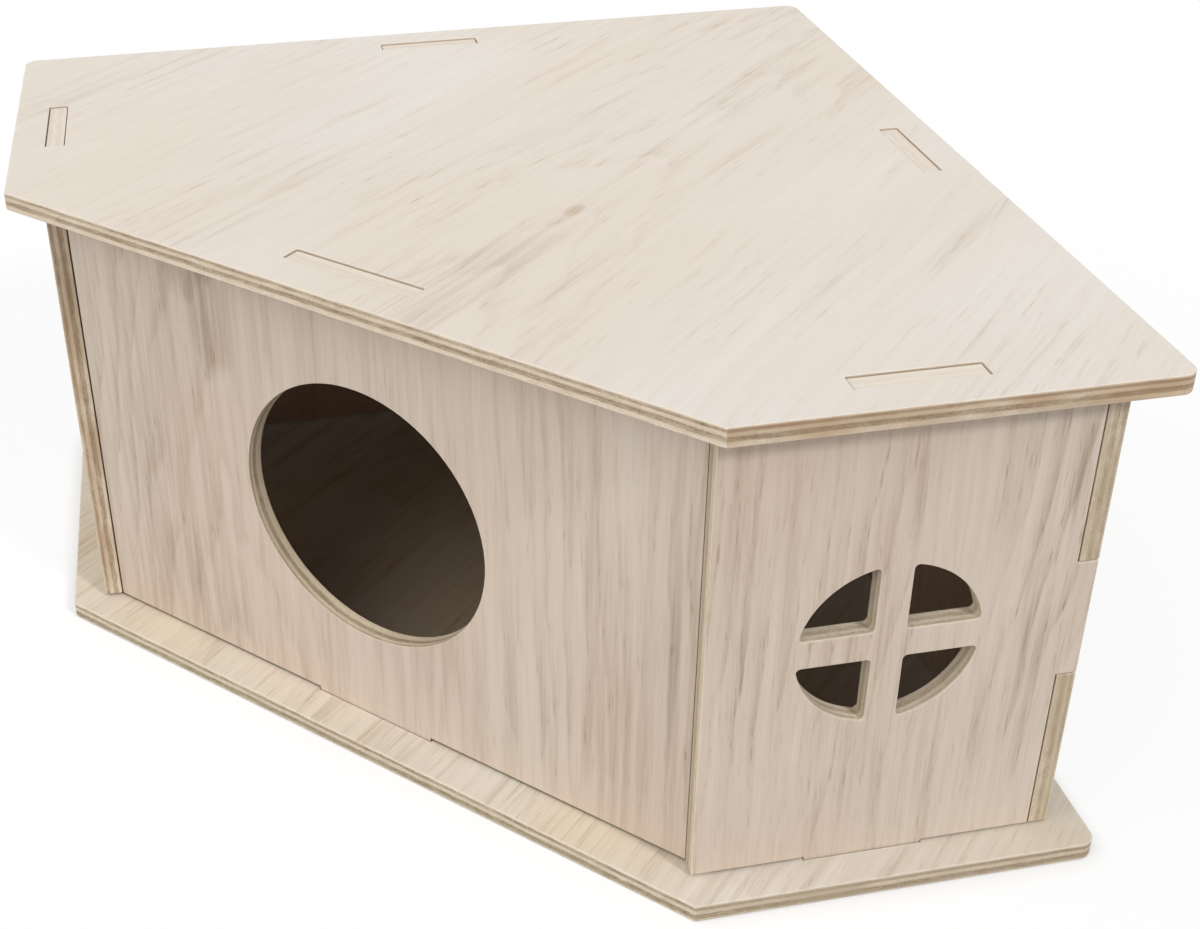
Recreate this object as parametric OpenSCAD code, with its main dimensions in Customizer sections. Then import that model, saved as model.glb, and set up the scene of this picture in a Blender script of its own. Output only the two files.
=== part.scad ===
// Corner hide for a hedgehog: seven plywood panels held together by tabs, slots and corner fingers.
// In plan it is a square with one corner cut off. The cut corner is the front, with the doorway,
// and faces -Y. The square corner behind it points to +Y. The two halves mirror each other across
// X = 0, apart from the fingers where the rear walls meet and the play at the front wall's ends.
// The origin is on the underside of the base, at the middle of the outline's box. Sizes are in mm.

/* [Plywood] */
// Thickness of the sheet that every panel is cut from
ply = 5; // [4:0.5:7]

/* [House] */
// Outer length of each rear wall
rear_len = 240; // [210:5:300]
// Outer length of each side wall
side_len = 95; // [80:1:130]
// Height of the room between base and roof
room_h = 133; // [115:1:180]

/* [Base and roof] */
// Reach of the plates beyond the rear and side walls
overhang = 9.5; // [5:0.5:20]
// Reach of the plates beyond the front corners of the side walls
front_lip = 7.8; // [4:0.2:15]
// Rounding of the plates' three square corners
corner_r = 4; // [1:0.5:10]

/* [Tabs] */
// Length of the front wall's tabs
front_tab = 39; // [20:1:80]
// Length of the side walls' tabs
side_tab = 31; // [15:1:50]
// Length of the rear walls' tabs
rear_tab = 31; // [15:1:80]
// Depth of a tab's end below the plate's outer face
tab_recess = 0.4; // [0:0.1:1]

/* [Corner fingers] */
// Height of the finger at the middle of each corner
finger_h = 33.5; // [20:0.5:60]

/* [Doorway] */
// Diameter of the doorway
door_d = 78; // [60:1:100]
// Height of its centre above the floor
door_rise = 67; // [56:1:76]

/* [Window] */
// Diameter of the round window in each side wall
window_d = 46; // [30:1:60]
// Width of the two bars that cross it
window_bar = 8; // [5:0.5:14]
// Rounding of the corners of its four lights
light_r = 1.2; // [0.5:0.1:2]

/* [Clearances] */
// Gap on each side of a tab in its slot
slot_gap = 0.25; // [0.1:0.05:0.5]
// Gap between the fingers of a corner
finger_gap = 0.35; // [0.1:0.05:0.6]
// Gap between the front wall's right end and the side wall, which it is pushed against
butt_gap = 0.1; // [0.05:0.05:0.5]
// Gap between its left end and the other side wall
loose_gap = 0.45; // [0.1:0.05:1]
// Gap that the push-in tabs leave between a wall and the base, and between it and the roof
seat_gap = 0.65; // [0.1:0.05:0.8]
// Gap between the front wall and the base, wider than under the other walls
front_gap = 0.95; // [0.1:0.05:1]

/* [Hidden] */
$fn = 96;
// How far a cut runs past the edge that it opens
past = 1;
// How far the rounding of a light's tip runs over the window's rim, so that the two arcs cross
tip_cross = 0.02;
diagonal = sqrt(2);

// Heights above the underside of the base
floor_z = ply;
ceiling_z = floor_z + room_h;
wall_foot = floor_z + seat_gap;
front_foot = floor_z + front_gap;
wall_head = ceiling_z - seat_gap;
mid_z = floor_z + room_h / 2;
top_z = ceiling_z + ply;

// Outline of the plates, measured from the outer rear corner of the walls along Y
rear_tip = overhang * diagonal - corner_r * (diagonal - 1);
front_edge = -(rear_len + side_len) / diagonal - front_lip;

// Outer corners of the walls on the right-hand half: rear, side and front
rear_corner = [0, -(rear_tip + front_edge) / 2];
side_corner = rear_corner + [rear_len, -rear_len] / diagonal;
front_corner = side_corner - [side_len, side_len] / diagonal;

// The front wall's outer face runs from one side wall's inner front edge to the other's
front_face_y = front_corner.y + ply / diagonal;
front_half = front_corner.x - ply / diagonal;

// A plate's full square, and what its side edges keep of it beside the front cut
plate_square = rear_len + 2 * overhang;
plate_side_edge = side_len + front_lip * diagonal;

// A side wall's length up to the inner face of the rear wall
side_body = side_len - ply;

roof_colour = [0.90, 0.86, 0.81];
base_colour = [0.87, 0.82, 0.74];
wall_colour = [0.82, 0.76, 0.69];

// Places for the walls: X runs along the wall towards the rear, Y from its outer face into the room
module at_front() {
    translate([0, front_face_y]) children();
}

module at_right_side() {
    translate(front_corner) rotate(45) children();
}

module at_rear_right() {
    translate(side_corner) rotate(135) children();
}

module mirrored() {
    mirror([1, 0, 0]) children();
}

// Stands a drawn wall face upright and gives it the sheet's thickness, inwards from the outer face
module upright() {
    translate([0, ply, 0]) rotate([90, 0, 0]) linear_extrude(ply) children();
}

// A wall's face from one end to the other, with a tab through the base and one through the roof
module tabbed_face(from, to, tab_at, tab_len, foot = wall_foot) {
    translate([from, foot]) square([to - from, wall_head - foot]);
    translate([tab_at - tab_len / 2, tab_recess]) square([tab_len, top_z - 2 * tab_recess]);
}

// The finger at the middle of a corner, or with a gap the notch that takes it
module finger(from, to, gap = 0) {
    translate([from, mid_z - finger_h / 2 - gap]) square([to - from, finger_h + 2 * gap]);
}

// A slot in a plate for the tab of the wall placed there
module slot(tab_at, tab_len) {
    translate([tab_at - tab_len / 2 - slot_gap, -slot_gap])
        square([tab_len + 2 * slot_gap, ply + 2 * slot_gap]);
}

// What rounding takes off a square corner at the origin
module corner_trim(r) {
    difference() {
        translate([-past, -past]) square(r + past);
        translate([r, r]) circle(r);
    }
}

// Outline of the base and the roof, drawn as a square on the axes and turned with its corner to the rear
module plate_outline() {
    far = plate_square + past;
    near = plate_side_edge - past;
    translate(rear_corner) rotate(-135) translate([-overhang, -overhang]) difference() {
        square(plate_square);
        corner_trim(corner_r);
        translate([plate_square, 0]) rotate(90) corner_trim(corner_r);
        translate([0, plate_square]) rotate(-90) corner_trim(corner_r);
        polygon([[far, near], [far, far], [near, far]]);
    }
}

// The base and the roof: one outline with five slots
module plate() {
    linear_extrude(ply) difference() {
        plate_outline();
        at_front() slot(0, front_tab);
        for (side = [0, 1]) mirror([side, 0, 0]) {
            at_right_side() slot(side_body / 2, side_tab);
            at_rear_right() slot(rear_len / 2, rear_tab);
        }
    }
}

// What rounding takes off the sharp tip of a light, where a bar runs into the rim of the window
module tip_trim() {
    rim_r = window_d / 2;
    centre_r = rim_r + tip_cross - light_r;
    centre_x = window_bar / 2 + light_r;
    centre_y = sqrt(pow(centre_r, 2) - pow(centre_x, 2));
    beyond = [centre_x, centre_y] * (rim_r + past) / centre_r;
    difference() {
        polygon([[centre_x, centre_y], beyond,
                 [window_bar / 2 - past, rim_r + past], [window_bar / 2 - past, centre_y]]);
        translate([centre_x, centre_y]) circle(light_r);
    }
}

// One light of the window: a quarter of the round, set back by half a bar, with rounded corners
module light() {
    difference() {
        intersection() {
            circle(d = window_d);
            translate([window_bar, window_bar] / 2) square(window_d);
        }
        translate([window_bar, window_bar] / 2) corner_trim(light_r);
        tip_trim();
        rotate(90) mirror([0, 1, 0]) tip_trim();
    }
}

module window() {
    for (quarter = [0 : 3]) rotate(90 * quarter) light();
}

// The right side wall in its place, before it is coloured or mirrored
module side_wall() {
    at_right_side() upright() difference() {
        union() {
            tabbed_face(0, side_body - finger_gap, side_body / 2, side_tab);
            finger(side_body - ply, side_len);
        }
        translate([side_body / 2, mid_z]) window();
    }
}

module base_panel() {
    color(base_colour) plate();
}

module roof_panel() {
    color(roof_colour) translate([0, 0, ceiling_z]) plate();
}

module front_wall() {
    color(wall_colour) at_front() upright() difference() {
        tabbed_face(loose_gap - front_half, front_half - butt_gap, 0, front_tab, front_foot);
        translate([0, floor_z + door_rise]) circle(d = door_d);
    }
}

module right_side_wall() {
    color(wall_colour) side_wall();
}

module left_side_wall() {
    color(wall_colour) mirrored() side_wall();
}

// Notched at both ends, for the side wall's finger and for the other rear wall's
module rear_right_wall() {
    color(wall_colour) at_rear_right() upright() difference() {
        tabbed_face(0, rear_len, rear_len / 2, rear_tab);
        finger(-past, ply + finger_gap, finger_gap);
        finger(rear_len - ply - finger_gap, rear_len + past, finger_gap);
    }
}

// Notched for the side wall's finger, with a finger of its own at the rear corner
module rear_left_wall() {
    color(wall_colour) mirrored() at_rear_right() upright() difference() {
        union() {
            tabbed_face(0, rear_len - ply - finger_gap, rear_len / 2, rear_tab);
            finger(rear_len - 2 * ply, rear_len);
        }
        finger(-past, ply + finger_gap, finger_gap);
    }
}

base_panel();
roof_panel();
front_wall();
left_side_wall();
right_side_wall();
rear_left_wall();
rear_right_wall();
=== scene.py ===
"""Looks of the wooden hedgehog house: seven plywood panels in their veneers, on a pale floor."""
import math

import bpy
from mathutils import Euler, Matrix, Vector

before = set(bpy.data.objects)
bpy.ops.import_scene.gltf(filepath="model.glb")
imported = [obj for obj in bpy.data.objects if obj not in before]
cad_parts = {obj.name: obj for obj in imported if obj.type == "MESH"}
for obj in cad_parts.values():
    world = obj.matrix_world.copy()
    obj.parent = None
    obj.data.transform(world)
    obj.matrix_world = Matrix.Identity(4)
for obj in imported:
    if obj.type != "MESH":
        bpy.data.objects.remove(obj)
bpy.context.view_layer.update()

# Lengths are in metres where nothing else is said, and places on a panel's sheet in millimetres
MM = 0.001

# Photograph's size in pixels, and the camera that was fitted to the corners seen in it
PHOTO_W, PHOTO_H = 1200, 929
FOCAL_PX = 1662.0
CENTRE_PX = (500.0, 350.0)
CAMERA_TARGET = Vector((-0.0321, -0.0057, 0.060))
CAMERA_DISTANCE = 0.5357
CAMERA_AZIMUTH = math.radians(34.59)
CAMERA_ELEVATION = math.radians(29.47)
CAMERA_ROLL = math.radians(-0.795)
SENSOR_MM = 36.0
CLIP_START = 0.01

# Soft light: an even sky, white where it is seen, a broad lamp in front and a smaller one from the right.
# Spread, azimuth and elevation are in degrees
WHITE = (1.0, 1.0, 1.0, 1.0)
SEEN_STRENGTH = 1.0
SKY_STRENGTH = 0.424
LAMPS = {
    "softbox": {"strength": 1.85, "spread": 80, "azimuth": -31, "elevation": 36},
    "side_lamp": {"strength": 1.31, "spread": 9, "azimuth": 80, "elevation": 37.7},
}

# Floor: half its width, how far it lies under the base, its tone where it is seen and where it only throws
# light back, the share of it that glows white, and how near the house and how fast that fades
FLOOR_HALF = 4.0
FLOOR_DROP = 0.0002
FLOOR_WHITE = 0.97
FLOOR_BOUNCE = 0.51
FLOOR_GLOW = 0.85
FLOOR_CONTACT = 0.006
FLOOR_FADE = 2.0

# Broken edge of the sawn panels, and the distance within which their points are one
ARRIS = 0.00022
ARRIS_SEGMENTS = 2
ARRIS_ANGLE = math.radians(35)
WELD = 0.000002

# Noises: step of the seed, size of the blots in mm across, through and along the grain, detail, roughness
NOISES = {
    # Veneer
    "sway": (0, (90, 90, 190), 1.5, 0.5),
    "ring": (1, (14, 14, 60), 2.0, 0.5),
    "ring_patch": (2, (30, 30, 70), 1.0, 0.5),
    "streak": (3, (3.4, 3.4, 75), 3.0, 0.62),
    "thread": (4, (0.9, 0.9, 26), 2.5, 0.6),
    "fibre": (5, (0.28, 0.28, 9), 1.5, 0.5),
    "pore": (6, (0.6, 0.6, 7.5), 1.0, 0.5),
    "cloud": (7, (38, 38, 95), 2.0, 0.5),
    "tint": (8, (55, 55, 130), 1.0, 0.5),
    # Sawn edges
    "wander": (20, (16, 16, 16), 2.0, 0.5),
    "lines": (21, (11, 0.22, 11), 2.0, 0.5),
    "speck": (22, (0.7, 0.5, 0.7), 2.0, 0.5),
    "blot": (23, (4.5, 1.6, 4.5), 3.0, 0.6),
    "stain": (24, (17, 5, 17), 2.0, 0.5),
    # Wear of the arrises, and unevenness of the base's painted shade
    "wear": (40, (6, 6, 6), 3.0, 0.5),
    "floor": (50, (30, 30, 45), 3.0, 0.5),
}

# How far apart two seeds lie in a noise, its middle value, and the range of it that sets patches apart
SEED_STEP = (7.31, 3.17, 11.93)
NOISE_MIDDLE = 0.5
PATCHES = (0.35, 0.65)

# Rings of the wood: their unevenness, how dark one is from its start to the next, and how much they show
# from patch to patch
RING_UNEVEN = 2.2
RING_TONES = ((0.0, 0.15), (0.10, 1.0), (0.45, 0.35), (1.0, 0.0))
RING_SHOWN = (0.15, 1.0)

# Pores: the part of their noise that is open, how strongly they show between the rings, and how much more
# in them
PORE_OPEN = (0.60, 0.74)
PORES_BETWEEN = 0.30
PORES_IN_RING = 0.9

# What darkens the veneer, times its contrast, how dark its main tone is, and how much a mark adds, growing
# from its rim inwards
VENEER_TONES = {"streak": 1.5, "thread": 0.8, "fibre": 0.35, "cloud": 0.9, "ring": 0.34, "pore": 0.5}
VENEER_MAIN_AT = 0.5
MARK_TONE = 1.6
MARK_FADE = (1.0, 0.1)

# Sheet's thickness in mm, how brown the five plies are from the outer face to the back, and how far they
# wander
PLY_MM = 5.0
PLY_LAYERS = ((0.00, 0.10), (0.07, 0.12), (0.11, 0.85), (0.23, 0.80), (0.28, 0.22), (0.42, 0.25),
              (0.48, 0.95), (0.68, 0.85), (0.75, 0.15), (0.92, 0.10), (1.00, 0.20))
PLY_WANDER = 0.5

# What darkens the sawn edges besides the plies, and how dark their main tone is
LINE_TONE = 0.7
SPECK_TONE = 0.6
PLY_MAIN_AT = 0.45

# Stain of the sawn edges: the part of its noise that is stained, and how it fades towards the end grain
STAIN_FROM = (0.20, 0.65)
END_GRAIN = (0.95, 0.72)
END_GRAIN_STAIN = (0.25, 1.0)

# Relief: the level of veneer and sawn edges, what raises or sinks them, and their strength and depth
VENEER_LEVEL = 0.5
VENEER_RELIEF = {"pore": -0.8, "ring": -0.25, "thread": 0.35, "fibre": 0.3}
EDGE_LEVEL = 0.6
EDGE_RELIEF = {"brown": -0.3, "lines": 0.5, "speck": 0.5}
RELIEF_STRENGTH = 0.35
RELIEF_DEPTH = 0.00012

# Finish: roughness of the veneer by its darkness, roughness of the sawn edges, gloss
ROUGH_FROM = (0.2, 0.9)
VENEER_ROUGH = (0.56, 0.72)
EDGE_ROUGH = (0.78, 0.78, 0.78, 1.0)
GLOSS = 0.35

# How squarely a spot faces outwards or inwards to be a face and not an edge, and inwards to be the back
FACE_FROM = (0.55, 0.75)
BACK_FROM = (0.4, 0.6)

# How far the browner tone of the sheets' backs, painted shade of their dim inner sides, and the
# painted shade of the room's floor cover the grain
BACK_SHADE_SHARE = 0.7
ROOM_SHADE_SHARE = 0.55

# Arrises: how far the wear of handling reaches from them, how sharply they turn there, and how patchy it is
WEAR_REACH = 0.0009
WEAR_SAMPLES = 4
WEAR_TURN = (0.99, 0.80)
WEAR_SHARES = (0.4, 0.95)

# Heights over which the upper ends of the walls' tabs turn pale, and how far they do
TAB_TOP = (0.1415, 0.1423)
TAB_WASH = 0.8

# How far in mm the painted shade on a wall's first end goes, and over what depth it comes in
END_SHADE_TO = (0.8, 0.4)
END_SHADE_DEPTH = (0.9, 3.1)

# Inwards from the walls' outer faces in mm: where a plate's edges are those of its slots and not its rim,
# which take the slots' painted shade, and where the painted shade of the room's floor comes in, with the
# unevenness of its border
SLOT_SHADE_FROM = (-7.0, -6.4)
ROOM_SHADE_FROM = (-4.0, 44.0)
ROOM_SHADE_UNEVEN = 24.0

# Painted shade in the seam under the walls' feet on the base, inwards from their outer faces in mm,
# broken by noise
SEAT_SHADE_FROM = (0.1, 0.7)
SEAT_SHADE_TO = (7.0, 2.0)
SEAT_SHADE_PATCHES = (0.3, 0.7)
SEAT_SHADE_SHARES = (0.238, 0.34)

# The mix node's sockets for colours: its share and two colours, and its result
MIX_INPUTS = (0, 6, 7)
MIX_RESULT = 2


def srgb(red, green, blue):
    """Linear colour of an 8-bit screen colour."""
    def linear(v):
        v /= 255
        return v / 12.92 if v <= 0.04045 else ((v + 0.055) / 1.055) ** 2.4
    return (linear(red), linear(green), linear(blue), 1.0)


class Graph:
    """Shorthand for building the nodes of a material or of the world."""

    def __init__(self, owner):
        owner.use_nodes = True
        self.tree = owner.node_tree
        self.tree.nodes.clear()

    def put(self, socket, value):
        """Links a socket to another one, or sets its value."""
        if isinstance(value, bpy.types.NodeSocket):
            self.tree.links.new(value, socket)
        else:
            socket.default_value = value

    def node(self, kind, inputs=None, **settings):
        made = self.tree.nodes.new(kind)
        for key, value in settings.items():
            setattr(made, key, value)
        for key, value in (inputs or {}).items():
            self.put(made.inputs[key], value)
        return made

    def math(self, operation, a, b=0.0, c=0.0):
        made = self.node("ShaderNodeMath", {0: a, 1: b, 2: c}, operation=operation)
        return made.outputs[0]

    def total(self, start, *terms):
        """Start value plus each term's value times its weight."""
        for value, weight in terms:
            start = self.math("MULTIPLY_ADD", value, weight, start)
        return start

    def weighed(self, start, layers, weights, share=1.0):
        """Start value plus each layer times the weight of its name."""
        return self.total(start, *((layers[name], weight * share) for name, weight in weights.items()))

    def vector(self, operation, a, b):
        made = self.node("ShaderNodeVectorMath", {0: a, 1: b}, operation=operation)
        return made.outputs["Value" if operation == "DOT_PRODUCT" else "Vector"]

    def split(self, vector):
        return self.node("ShaderNodeSeparateXYZ", {0: vector}).outputs

    def spread(self, value, low, high, to_low=0.0, to_high=1.0):
        """Value from low to high as to_low to to_high, held at the ends."""
        inputs = {"Value": value, "From Min": low, "From Max": high,
                  "To Min": to_low, "To Max": to_high}
        return self.node("ShaderNodeMapRange", inputs, clamp=True).outputs["Result"]

    def ramp(self, value, stops, colours=True):
        """Colour ramp through the stops, each a place and a colour, or a grey."""
        made = self.node("ShaderNodeValToRGB", {"Fac": value})
        elements = made.color_ramp.elements
        while len(elements) < len(stops):
            elements.new(1.0)
        for element, (place, colour) in zip(elements, stops):
            element.position = place
            element.color = colour if colours else (colour, colour, colour, 1.0)
        return made.outputs["Color"]

    def mix(self, share, a, b, blend="MIX"):
        """First colour with a share of the second."""
        made = self.node("ShaderNodeMix", data_type="RGBA", blend_type=blend)
        for index, value in zip(MIX_INPUTS, (share, a, b)):
            self.put(made.inputs[index], value)
        return made.outputs[MIX_RESULT]

    def noise(self, name, place, seed, output="Fac"):
        """One of the noises, at a place on the sheet."""
        step, sizes, detail, rough = NOISES[name]
        inputs = {"Vector": place, "Scale": tuple(1.0 / size for size in sizes),
                  "Location": tuple((seed + step) * apart for apart in SEED_STEP)}
        spot = self.node("ShaderNodeMapping", inputs).outputs["Vector"]
        inputs = {"Vector": spot, "Scale": 1.0, "Detail": detail, "Roughness": rough}
        return self.node("ShaderNodeTexNoise", inputs).outputs[output]

    def centred(self, noise):
        """Noise as more or less than its middle."""
        return self.math("SUBTRACT", noise, NOISE_MIDDLE)

    def seen(self):
        """1 where a surface is seen, also in gloss or through glass, and 0 where it only lights others."""
        rays = self.node("ShaderNodeLightPath").outputs
        beyond = self.math("MAXIMUM", rays["Is Glossy Ray"], rays["Is Transmission Ray"])
        return self.math("MAXIMUM", rays["Is Camera Ray"], beyond)


def sheet_axes(turn):
    """Directions across the grain, through the sheet from its outer face, and along the grain."""
    basis = Euler(turn).to_matrix()
    return [basis.col[k].copy() for k in range(3)]


def sheet_origin(panel, turn):
    """Where the outer face begins: the least reach of the panel along the first two axes."""
    across, through, _ = sheet_axes(turn)
    corners = [v.co for v in panel.data.vertices]
    return sum((axis * min(axis.dot(c) for c in corners) for axis in (across, through)), Vector())


def marks(g, across, along, look):
    """Sum of the veneer's own darker spots: each an oval by its middle, half sizes and strength."""
    marked = 0.0
    for middle, length, half_wide, half_long, strength in look["marks"]:
        aside = g.math("MULTIPLY_ADD", across, 1 / half_wide, -middle / half_wide)
        ahead = g.math("MULTIPLY_ADD", along, 1 / half_long, -length / half_long)
        apart = g.math("MULTIPLY_ADD", aside, aside, g.math("MULTIPLY", ahead, ahead))
        marked = g.total(marked, (g.spread(apart, *MARK_FADE), strength))
    return marked


def veneer(g, place, look):
    """Colour, height and roughness of a panel's faces, by their place on the sheet."""
    seed = look["seed"]
    sway = g.vector("SUBTRACT", g.noise("sway", place, seed, "Color"), (NOISE_MIDDLE,) * 3)
    grain = g.vector("ADD", place, g.vector("MULTIPLY", sway, (look["sway"], 0.0, 0.0)))

    # Rings of a flat-cut log: arches round the figure's line, near straight further out
    across, _, along = g.split(grain)
    aside = g.math("SUBTRACT", across, look["figure_at"])
    depth = g.math("MULTIPLY_ADD", along, look["figure_rise"], look["figure_depth"])
    radius = g.math("SQRT", g.math("ADD", g.math("MULTIPLY", aside, aside),
                                   g.math("MULTIPLY", depth, depth)))
    uneven = g.noise("ring", grain, seed)
    ring = g.math("FRACT", g.total(g.math("DIVIDE", radius, look["ring"]), (uneven, RING_UNEVEN)))
    ring = g.ramp(ring, RING_TONES, colours=False)
    shown = g.spread(g.noise("ring_patch", place, seed), *PATCHES, *RING_SHOWN)
    marked = marks(g, across, along, look)
    ring = g.math("MULTIPLY", ring, g.total(shown, (marked, look["mark_rings"])))

    streak = g.noise("streak", grain, seed)
    thread = g.noise("thread", grain, seed)
    fibre = g.noise("fibre", grain, seed)
    pore = g.spread(g.noise("pore", grain, seed), *PORE_OPEN)
    pore = g.math("MULTIPLY", pore, g.total(PORES_BETWEEN, (ring, PORES_IN_RING)))
    cloud = g.noise("cloud", place, seed)

    layers = {"streak": g.centred(streak), "thread": g.centred(thread), "fibre": g.centred(fibre),
              "cloud": g.centred(cloud), "ring": ring, "pore": pore}
    dark = g.weighed(look["depth"], layers, VENEER_TONES, look["contrast"])
    dark = g.total(dark, (g.math("MULTIPLY", marked, streak), MARK_TONE))
    colour = g.ramp(dark, ((0.0, look["pale"]), (VENEER_MAIN_AT, look["main"]), (1.0, look["deep"])))
    tint = g.spread(g.noise("tint", place, seed), *PATCHES, 0.0, look["tint_share"])
    colour = g.mix(tint, colour, look["tint"], blend="MULTIPLY")
    layers = {"pore": pore, "ring": ring, "thread": thread, "fibre": fibre}
    height = g.weighed(VENEER_LEVEL, layers, VENEER_RELIEF)
    return colour, height, g.spread(dark, *ROUGH_FROM, *VENEER_ROUGH)


def plies(g, place, along, look):
    """Colour and height of the sawn edges: five plies, alternately pale and brown.
    Along is how far the edge faces along the grain: there it is greyer, elsewhere more tan."""
    seed = look["seed"]
    _, depth, _ = g.split(place)
    wander = g.centred(g.noise("wander", place, seed))
    level = g.total(look["ply_shift"], (depth, 1.0), (wander, PLY_WANDER))
    level = g.math("MULTIPLY", level, look["ply_scale"] / PLY_MM)
    brown = g.ramp(level, PLY_LAYERS, colours=False)
    lines = g.noise("lines", place, seed)
    speck = g.noise("speck", place, seed)
    blot = g.noise("blot", place, seed)
    dark = g.total(look["ply_depth"], (brown, look["ply_contrast"]), (g.centred(lines), LINE_TONE),
                   (g.centred(speck), SPECK_TONE), (g.centred(blot), look["ply_blot"]))
    colour = g.ramp(dark, ((0.0, look["ply_pale"]), (PLY_MAIN_AT, look["ply_main"]),
                           (1.0, look["ply_brown"])))
    stain = g.spread(g.noise("stain", place, seed), *STAIN_FROM)
    stain = g.math("MULTIPLY", stain, g.spread(along, *END_GRAIN, *END_GRAIN_STAIN))
    stained = g.mix(brown, look["stain_colour"], look["stain_deep"])
    colour = g.mix(g.math("MULTIPLY", stain, look["stain"]), colour, stained)
    height = g.weighed(EDGE_LEVEL, {"brown": brown, "lines": lines, "speck": speck}, EDGE_RELIEF)
    return colour, height


def reach(node, measure):
    """The most that a measure comes to over the corners of a node."""
    return max(measure(v.co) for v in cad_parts[node].data.vertices)


# Lines of the walls' outer faces: rear and side by |x| + y and |x| - y, front by -y. The first two run at
# 45 degrees, so that a distance from them is this part of the difference
WALL_REAR = reach("rear_right_wall", lambda c: abs(c.x) + c.y)
WALL_SIDE = reach("right_side_wall", lambda c: abs(c.x) - c.y)
WALL_FRONT = reach("front_wall", lambda c: -c.y)
SLANT = math.sqrt(0.5)


def inside_walls(g, spot):
    """Distance in mm from the walls' outer faces inwards, seen from above."""
    x, y, _ = g.split(spot)
    wide = g.math("ABSOLUTE", x)
    rear = g.math("SUBTRACT", WALL_REAR, g.math("ADD", wide, y))
    side = g.math("SUBTRACT", WALL_SIDE, g.math("SUBTRACT", wide, y))
    slant = g.math("MULTIPLY", g.math("MINIMUM", rear, side), SLANT)
    return g.math("DIVIDE", g.math("MINIMUM", slant, g.math("ADD", y, WALL_FRONT)), MM)


def wall_edge(g, spot, place, look, edge):
    """Edge colour of a wall: painted shade on its first end, washed pale on the upper end of its tab."""
    across, depth, _ = g.split(place)
    # Painted shade on the first end, deepening into the sheet
    end_shaded = g.math("MULTIPLY", g.spread(across, *END_SHADE_TO), g.spread(depth, *END_SHADE_DEPTH))
    edge = g.mix(g.math("MULTIPLY", end_shaded, look["end_shade_share"]), edge, look["end"])
    _, _, height = g.split(spot)
    washed = g.math("MULTIPLY", g.spread(height, *TAB_TOP), TAB_WASH)
    return g.mix(washed, edge, look["tab_end"])


def painted_floor_shade(g, inside, place, look, face):
    """Base's face colour, with painted shade in the room and in the seam under the walls' feet."""
    uneven = g.noise("floor", place, look["seed"])
    # Painted shade of the room: browner inwards from the walls, with an uneven border
    room_shade = g.total(-ROOM_SHADE_UNEVEN / 2, (uneven, ROOM_SHADE_UNEVEN), (inside, 1.0))
    room_shade = g.math("MULTIPLY", g.spread(room_shade, *ROOM_SHADE_FROM), ROOM_SHADE_SHARE)
    face = g.mix(room_shade, face, look["back"])
    # Painted shade in the seam under the walls' feet, in patches
    seat_shade = g.math("MULTIPLY", g.spread(inside, *SEAT_SHADE_FROM), g.spread(inside, *SEAT_SHADE_TO))
    seat_shade = g.math("MULTIPLY", seat_shade, g.spread(uneven, *SEAT_SHADE_PATCHES, *SEAT_SHADE_SHARES))
    return g.mix(seat_shade, face, look["seat_shade"])


def worn_arrises(g, place, look, colour):
    """Colour of the whole panel, with its arrises paled by handling."""
    rounded = g.node("ShaderNodeBevel", {"Radius": WEAR_REACH}, samples=WEAR_SAMPLES).outputs["Normal"]
    flat = g.node("ShaderNodeNewGeometry").outputs["Normal"]
    worn = g.spread(g.vector("DOT_PRODUCT", rounded, flat), *WEAR_TURN)
    patchy = g.spread(g.noise("wear", place, look["seed"]), *PATCHES, *WEAR_SHARES)
    worn = g.math("MULTIPLY", worn, patchy)
    return g.mix(g.math("MULTIPLY", worn, look["wear"]), colour, look["worn"])


def plywood(name, panel, turn, look):
    """Veneer on the panel's faces and plies on its edges, set on the sheet that it was cut from."""
    material = bpy.data.materials.new(name)
    g = Graph(material)
    spots = g.node("ShaderNodeTexCoord").outputs
    place = g.node("ShaderNodeMapping", {"Vector": spots["Object"], "Rotation": turn,
                                         "Location": sheet_origin(panel, turn),
                                         "Scale": (MM, MM, MM)}, vector_type="TEXTURE")
    place = place.outputs["Vector"]
    _, through, grain = sheet_axes(turn)
    facing = g.vector("DOT_PRODUCT", spots["Normal"], through)
    face = g.spread(g.math("ABSOLUTE", facing), *FACE_FROM)
    along = g.math("ABSOLUTE", g.vector("DOT_PRODUCT", spots["Normal"], grain))

    face_colour, face_height, face_rough = veneer(g, place, look)
    edge_colour, edge_height = plies(g, place, along, look)
    # Inward faces take the browner back tone, painted shade of the dim inside
    back_shade = g.math("MULTIPLY", g.spread(facing, *BACK_FROM), BACK_SHADE_SHARE)
    face_colour = g.mix(back_shade, face_colour, look["back"])
    if look["upright"]:
        edge_colour = wall_edge(g, spots["Object"], place, look, edge_colour)
    else:
        inside = inside_walls(g, spots["Object"])
        # Slot walls take a darker flat tone: painted shade inside the slots
        edge_colour = g.mix(g.spread(inside, *SLOT_SHADE_FROM), edge_colour, look["slot"])
        # The base's top takes painted shade in the room and in the seam under the walls' feet
        if look["floor"]:
            face_colour = painted_floor_shade(g, inside, place, look, face_colour)

    colour = worn_arrises(g, place, look, g.mix(face, edge_colour, face_colour))
    height = g.mix(face, edge_height, face_height)
    rough = g.mix(face, EDGE_ROUGH, face_rough)
    bump = g.node("ShaderNodeBump", {"Strength": RELIEF_STRENGTH, "Distance": RELIEF_DEPTH,
                                     "Height": height})
    shader = g.node("ShaderNodeBsdfPrincipled",
                    {"Base Color": colour, "Roughness": rough, "Normal": bump.outputs["Normal"],
                     "Specular IOR Level": GLOSS})
    g.node("ShaderNodeOutputMaterial", {"Surface": shader.outputs[0]})
    return material
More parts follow.
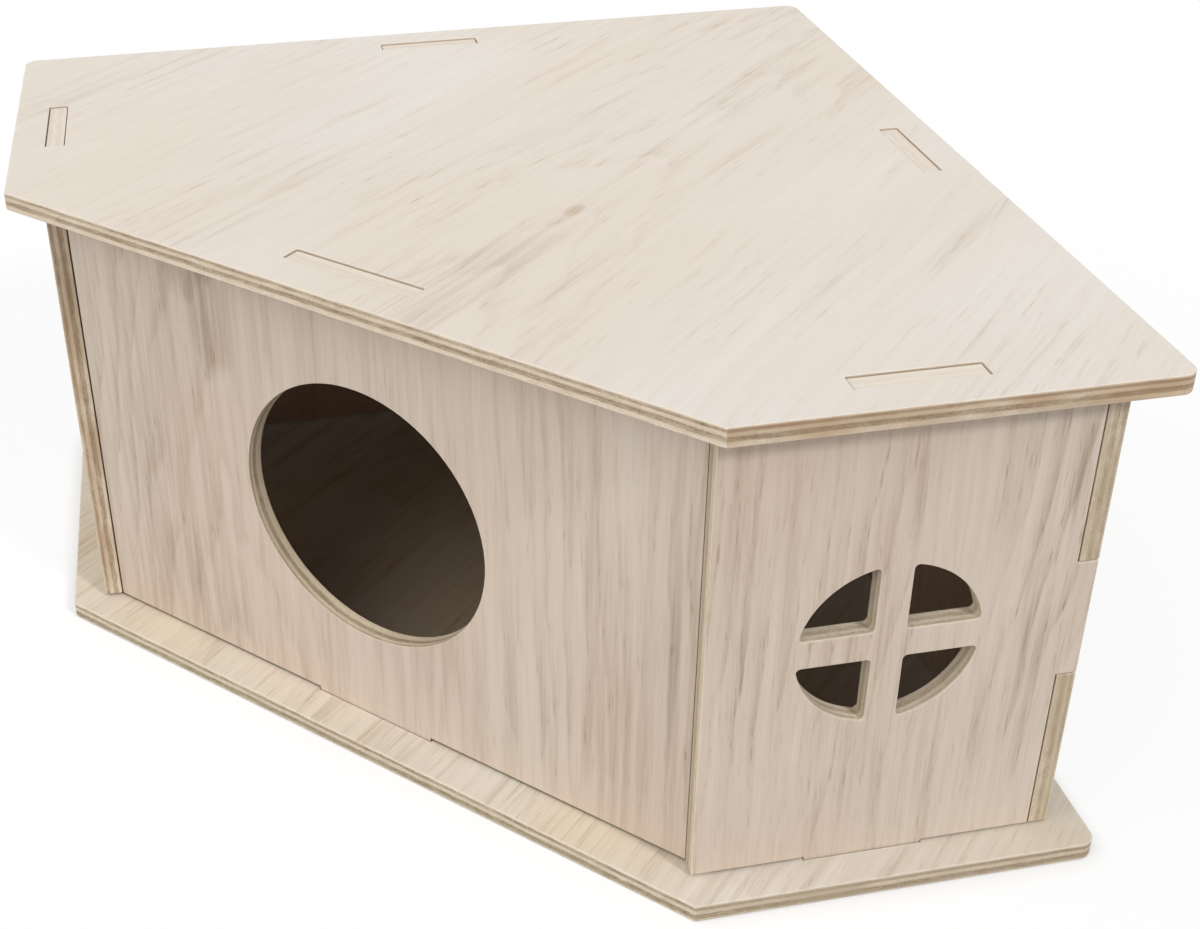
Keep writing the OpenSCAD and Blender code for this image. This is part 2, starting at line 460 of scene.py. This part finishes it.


# Looks. The veneer has three tones and a tint in patches. Depth is how dark it is on the whole, contrast how
# much the grain shows, sway how far the grain bends, and figure and ring set the place, depth, rise and
# distance of the rings, in mm. The sawn edges have the plies' tones, with their scale and shift in the
# sheet, and a stain. Then come the painted shade of a wall's first end, the tone of worn arrises, the
# sheet's back tone, which is painted shade of the dim inside, and the tone of the tabs' upper ends, and on
# plates the painted shade of the slots and of the seam under the walls' feet
WALL = {
    "upright": True,
    "pale": srgb(226, 213, 199), "main": srgb(211, 197, 181), "deep": srgb(172, 153, 133),
    "tint": srgb(253, 246, 243), "tint_share": 0.8, "depth": 0.42, "contrast": 0.55, "sway": 7.0,
    "figure_depth": 40.0, "figure_rise": 0.11, "ring": 4.6, "marks": (), "mark_rings": 2.5,
    "ply_pale": srgb(236, 222, 202), "ply_main": srgb(206, 190, 166), "ply_brown": srgb(128, 107, 82),
    "ply_scale": 1.0, "ply_shift": 0.0, "ply_contrast": 0.66, "ply_depth": 0.10, "ply_blot": 0.7,
    "stain": 0.85, "stain_colour": srgb(198, 168, 135), "stain_deep": srgb(150, 121, 91),
    "end": srgb(158, 140, 119), "end_shade_share": 0.0, "wear": 0.7, "worn": srgb(232, 221, 206),
    # Back: browner tone of inward faces, painted shade of the dim inside
    "back": srgb(160, 120, 78), "tab_end": srgb(230, 220, 207),
}
# Roof: back tone is painted shade of its dim underside, slot tone painted shade in the slots
ROOF = dict(WALL, upright=False, floor=False, contrast=0.42, depth=0.40, worn=srgb(240, 232, 222),
            pale=srgb(232, 226, 217), main=srgb(225, 217, 207), deep=srgb(194, 177, 158),
            tint=srgb(253, 248, 244), back=srgb(148, 111, 72), slot=srgb(190, 172, 149))
# Base: back tone is painted shade of its unlit underside, seat tone painted shade under the walls
BASE = dict(ROOF, floor=True, contrast=0.7, pale=srgb(223, 215, 205), main=srgb(212, 203, 191),
            deep=srgb(178, 162, 141), tint=srgb(253, 248, 232), back=srgb(173, 137, 91),
            seat_shade=srgb(120, 98, 74), ply_scale=0.80, ply_contrast=0.74, stain=0.8,
            stain_colour=srgb(192, 174, 149), stain_deep=srgb(172, 155, 131))

# Sawn edges of single walls: tan round the doorway, pale in the right window, yellow and even on the rear
# wall beside it, darker and blotched on the left wall
DOOR_EDGE = dict(WALL, ply_contrast=0.72, ply_depth=0.02, ply_shift=0.65, stain=0.5, wear=0.15,
                 ply_pale=srgb(223, 206, 179), ply_main=srgb(194, 177, 150),
                 stain_colour=srgb(208, 190, 160), stain_deep=srgb(154, 136, 110))
# The right wall's front end takes the painted shade of its end strip
PALE_EDGE = dict(WALL, ply_contrast=0.45, ply_depth=0.12, stain=0.5, end_shade_share=0.7,
                 stain_colour=srgb(206, 191, 162), stain_deep=srgb(184, 167, 141))
YELLOW_EDGE = dict(WALL, ply_contrast=0.30, ply_depth=0.30, stain=0.8, ply_blot=1.2,
                   stain_colour=srgb(193, 175, 147), stain_deep=srgb(176, 157, 129))
DARK_EDGE = dict(WALL, ply_contrast=0.60, ply_depth=0.10, ply_scale=0.9, wear=0.35, ply_blot=1.3,
                 stain_colour=srgb(194, 166, 135), stain_deep=srgb(152, 124, 95))

# Darker spots of single veneers in mm, as marks() takes them: knot and tan bands of the roof, the figure
# high on the front wall and its dark right end, and streaks of the right wall
ROOF_MARKS = ((207, -55, 2.6, 5, 0.30), (205, 28, 11, 90, 0.12), (208, -95, 14, 50, 0.11),
              (299, -20, 5, 45, 0.12), (116, -27, 3, 28, 0.12), (280, -60, 4, 40, 0.08))
FRONT_MARKS = ((50, 117, 9, 20, 0.25), (0, 40, 75, 95, 0.07), (192, 70, 4, 60, 0.14),
               (198, 145, 5, 130, 0.29), (40, 18, 45, 26, 0.08))
RIGHT_MARKS = ((48, 117, 2.5, 20, 0.18), (82, 60, 4, 45, 0.12), (85, 112, 4, 18, 0.14),
               (10, 85, 3, 50, 0.08), (25, 112, 9, 22, 0.06), (35, 25, 3, 25, 0.08),
               (95, 85, 45, 90, 0.12))

# Turn of each panel's sheet: the outer face is the start of the second axis, the grain the third
FLAT = (math.radians(-90), 0.0, 0.0)


def standing(degrees):
    """Turn of an upright sheet, by that of its wall in plan."""
    return (0.0, 0.0, math.radians(degrees))


PANELS = {
    "roof_panel": (FLAT, dict(ROOF, seed=3, figure_at=208.0, figure_depth=52.0, marks=ROOF_MARKS)),
    "base_panel": (FLAT, dict(BASE, seed=11, figure_at=120.0)),
    "front_wall": (standing(0), dict(DOOR_EDGE, seed=5, contrast=0.46, depth=0.465, figure_at=52.0,
                                     marks=FRONT_MARKS)),
    "right_side_wall": (standing(45), dict(PALE_EDGE, seed=8, contrast=0.6, depth=0.39, figure_at=130.0,
                                           marks=RIGHT_MARKS)),
    "left_side_wall": (standing(-45), dict(DARK_EDGE, seed=14, figure_at=30.0)),
    # Rear right wall's back is darker still: painted shade inside, beyond the right window
    "rear_right_wall": (standing(135), dict(YELLOW_EDGE, seed=17, figure_at=150.0,
                                            back=srgb(142, 106, 68))),
    "rear_left_wall": (standing(-135), dict(WALL, seed=21, figure_at=90.0)),
}


def dress(name, turn, look):
    """Plywood and broken edges for one panel."""
    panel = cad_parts[name]
    material = plywood(name + "_veneer", panel, turn, look)
    panel.data.materials.clear()
    panel.data.materials.append(material)
    weld = panel.modifiers.new("weld", "WELD")
    weld.merge_threshold = WELD
    arris = panel.modifiers.new("arris", "BEVEL")
    arris.width = ARRIS
    arris.segments = ARRIS_SEGMENTS
    arris.limit_method = "ANGLE"
    arris.angle_limit = ARRIS_ANGLE
    arris.use_clamp_overlap = False
    arris.loop_slide = False
    even = panel.modifiers.new("even", "WEIGHTED_NORMAL")
    even.mode = "FACE_AREA_WITH_ANGLE"
    even.keep_sharp = True


def make_floor():
    """Pale floor: white where it is seen, and a duller bounce of light onto the house."""
    mesh = bpy.data.meshes.new("floor")
    h = FLOOR_HALF
    mesh.from_pydata([(-h, -h, 0), (h, -h, 0), (h, h, 0), (-h, h, 0)], [], [(0, 1, 2, 3)])
    floor = bpy.data.objects.new("floor", mesh)
    floor.location.z = -FLOOR_DROP
    bpy.context.scene.collection.objects.link(floor)
    paper = bpy.data.materials.new("floor_paper")
    g = Graph(paper)
    seen = g.seen()
    tone = g.spread(seen, 0.0, 1.0, FLOOR_BOUNCE, FLOOR_WHITE)
    matt = g.node("ShaderNodeBsdfDiffuse", {"Color": tone})
    glow = g.node("ShaderNodeEmission", {"Strength": SEEN_STRENGTH})
    clear = g.node("ShaderNodeAmbientOcclusion", {"Distance": FLOOR_CONTACT}).outputs["AO"]
    share = g.math("MULTIPLY", g.math("MULTIPLY", seen, FLOOR_GLOW), g.math("POWER", clear, FLOOR_FADE))
    shader = g.node("ShaderNodeMixShader", {0: share, 1: matt.outputs[0], 2: glow.outputs[0]})
    g.node("ShaderNodeOutputMaterial", {"Surface": shader.outputs[0]})
    mesh.materials.append(paper)


def make_light():
    """Sky and lamps."""
    world = bpy.data.worlds.new("sky")
    bpy.context.scene.world = world
    g = Graph(world)
    level = g.spread(g.seen(), 0.0, 1.0, SKY_STRENGTH, SEEN_STRENGTH)
    sky = g.node("ShaderNodeBackground", {"Color": WHITE, "Strength": level})
    g.node("ShaderNodeOutputWorld", {"Surface": sky.outputs[0]})

    for name, lamp in LAMPS.items():
        data = bpy.data.lights.new(name, "SUN")
        data.energy = lamp["strength"]
        data.angle = math.radians(lamp["spread"])
        holder = bpy.data.objects.new(name, data)
        tilt = math.radians(90 - lamp["elevation"])
        holder.rotation_euler = (tilt, 0.0, math.radians(lamp["azimuth"]))
        bpy.context.scene.collection.objects.link(holder)


def make_camera():
    """Camera at the photograph's viewing angle, with its framing."""
    data = bpy.data.cameras.new("camera")
    data.sensor_width = SENSOR_MM
    data.lens = FOCAL_PX * SENSOR_MM / PHOTO_W
    data.shift_x = (PHOTO_W / 2 - CENTRE_PX[0]) / PHOTO_W
    data.shift_y = (CENTRE_PX[1] - PHOTO_H / 2) / PHOTO_W
    data.clip_start = CLIP_START
    camera = bpy.data.objects.new("camera", data)
    back = Vector((math.sin(CAMERA_AZIMUTH) * math.cos(CAMERA_ELEVATION),
                   -math.cos(CAMERA_AZIMUTH) * math.cos(CAMERA_ELEVATION),
                   math.sin(CAMERA_ELEVATION)))
    upright = back.to_track_quat("Z", "Y").to_matrix()
    turned = upright @ Matrix.Rotation(CAMERA_ROLL, 3, "Z")
    camera.matrix_world = Matrix.Translation(CAMERA_TARGET + back * CAMERA_DISTANCE) @ turned.to_4x4()
    bpy.context.scene.collection.objects.link(camera)
    bpy.context.scene.camera = camera


for name, (turn, look) in PANELS.items():
    dress(name, turn, look)
make_floor()
make_light()
make_camera()
bpy.context.scene.view_settings.view_transform = "Standard"
